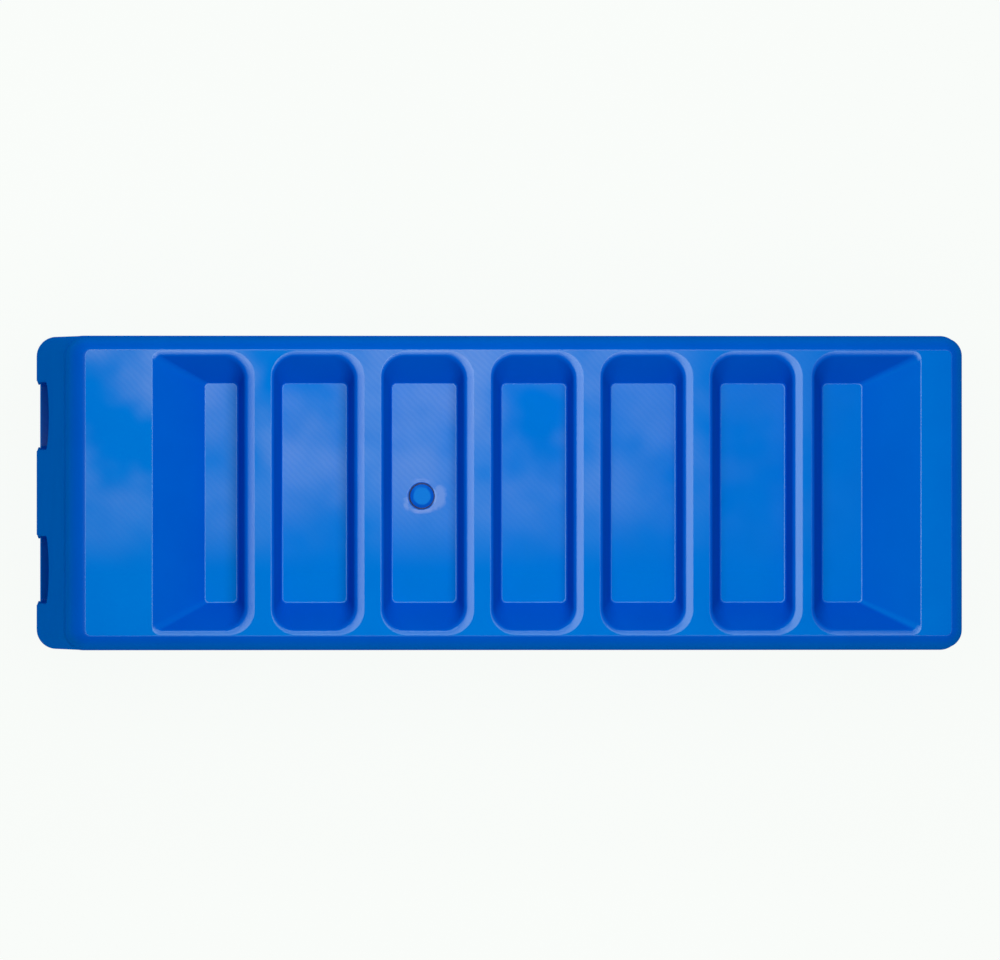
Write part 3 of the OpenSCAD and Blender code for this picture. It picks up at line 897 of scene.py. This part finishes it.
class BuildPlugs(bpy.types.Operator):
    """Build the filler plug and the drain plug"""
    bl_idname = "barrier.build_plugs"
    bl_label = "Build Plugs"

    def execute(self, context):
        scene = context.scene
        finish = scene.barrier_finish
        filler = filler_plug(scene.barrier_plugs)
        drain = drain_plug(scene.barrier_plugs)
        black = moulded_plastic("injection_moulded_polypropylene", finish.drain, 0.42, 1.49, 1.6 * MM)
        for plug, material, body, node, slot in (
                (filler, injection_moulded_polyethylene(finish),
                 "filler_screw", "filler_plug", "plug_polyethylene"),
                (drain, black, "drain_screw", "drain_plug", "drain_plug_polypropylene")):
            smooth(plug, 40)
            plug.data.materials.append(material)
            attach(plug, body)
            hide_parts(node)
        return {"FINISHED"}


class FinishBushes(bpy.types.Operator):
    """Give the bushes and the seals their finishes"""
    bl_idname = "barrier.finish_bushes"
    bl_label = "Finish Bushes and Seals"

    def execute(self, context):
        finish = context.scene.barrier_finish
        nylon = moulded_plastic("moulded_nylon", finish.nylon, 0.45, 1.53, 1.2 * MM)
        rubber = moulded_plastic("moulded_nitrile_rubber", finish.rubber, 0.62, 1.52, 0.9 * MM)
        for node, material in (("filler_bush", nylon), ("drain_bush", nylon),
                               ("filler_seal", rubber), ("drain_seal", rubber)):
            obj = frame["nodes"][node]
            for place in obj.material_slots:
                place.material = material
        return {"FINISHED"}


class BuildStage(bpy.types.Operator):
    """Build the floor, the lights and the camera"""
    bl_idname = "barrier.build_stage"
    bl_label = "Build Stage"

    def execute(self, context):
        scene = context.scene
        bm = bmesh.new()
        bmesh.ops.create_grid(bm, x_segments=8, y_segments=8, size=30)
        floor = new_object("studio_floor", bm)
        floor.location.z = GROUND
        floor.data.materials.append(light_table_acrylic(scene.barrier_finish))

        world = bpy.data.worlds.new("studio")
        world.use_nodes = True
        background = world.node_tree.nodes["Background"]
        background.inputs["Color"].default_value = (1, 1, 1, 1)
        background.inputs["Strength"].default_value = 0.30
        scene.world = world
        scene.view_settings.view_transform = "Standard"

        add_softbox("overhead_softbox", (0.0, -0.05, 2.6), (0.0, -0.05, TOP), 2.2, 1.3, 34)
        add_softbox("back_softbox", (-0.2, 1.2, 2.3), (-0.2, 0, TOP), 1.8, 0.3, 14)
        add_camera(scene)
        return {"FINISHED"}


def aim(obj, target):
    """Turns an object's -Z axis to a point, with its +Y axis up the barrier's back."""
    back = (Vector(obj.location) - Vector(target)).normalized()
    right = Vector((0, 1, 0)).cross(back).normalized()
    up = back.cross(right)
    obj.rotation_mode = "QUATERNION"
    obj.rotation_quaternion = Matrix((right, up, back)).transposed().to_quaternion()


def add_softbox(name, place, target, width, height, watts):
    """A rectangular softbox that points at a target."""
    light = bpy.data.lights.new(name, "AREA")
    light.shape = "RECTANGLE"
    light.size, light.size_y = width, height
    light.energy = watts
    lamp = bpy.data.objects.new(name, light)
    lamp.location = place
    aim(lamp, target)
    lamp.visible_camera = False
    bpy.context.scene.collection.objects.link(lamp)
    return lamp


def add_camera(scene):
    """A very long lens almost square on to the top, a little towards the left end."""
    across = 1.5895
    distance = 60.0
    lean = math.radians(6.55)
    target = Vector((-0.038, 0.0206, TOP))
    camera = bpy.data.objects.new("camera", bpy.data.cameras.new("camera"))
    camera.data.sensor_width = 36
    camera.data.lens = camera.data.sensor_width * distance / across
    camera.data.clip_start, camera.data.clip_end = 10, 300
    camera.location = target + Vector((-math.sin(lean), 0, math.cos(lean))) * distance
    aim(camera, target)
    scene.collection.objects.link(camera)
    scene.camera = camera


class BarrierPanel(bpy.types.Panel):
    """Sizes, finishes and build steps of the barrier"""
    bl_idname = "VIEW3D_PT_barrier"
    bl_label = "Water Filled Barrier"
    bl_space_type = "VIEW_3D"
    bl_region_type = "UI"
    bl_category = "Barrier"

    def draw(self, context):
        for group in (context.scene.barrier_skin, context.scene.barrier_features,
                      context.scene.barrier_plugs, context.scene.barrier_finish):
            box = self.layout.box()
            for prop in group.bl_rna.properties:
                if not prop.is_readonly and prop.identifier != "name":
                    box.prop(group, prop.identifier)
        for operator in BUILD_ORDER:
            self.layout.operator(operator.bl_idname)


BUILD_ORDER = (BuildSkin, BuildPlugs, FinishBushes, BuildStage)
GROUPS = {
    "barrier_skin": BarrierSkin,
    "barrier_features": BarrierFeatures,
    "barrier_plugs": BarrierPlugs,
    "barrier_finish": BarrierFinish,
}


def register():
    for cls in (*GROUPS.values(), *BUILD_ORDER, BarrierPanel):
        bpy.utils.register_class(cls)
    for name, group in GROUPS.items():
        setattr(bpy.types.Scene, name, PointerProperty(type=group))


def unregister():
    for name in GROUPS:
        delattr(bpy.types.Scene, name)
    for cls in reversed((*GROUPS.values(), *BUILD_ORDER, BarrierPanel)):
        bpy.utils.unregister_class(cls)


def main():
    register()
    for operator in BUILD_ORDER:
        group, _, name = operator.bl_idname.partition(".")
        getattr(getattr(bpy.ops, group), name)()


if __name__ == "__main__":
    main()
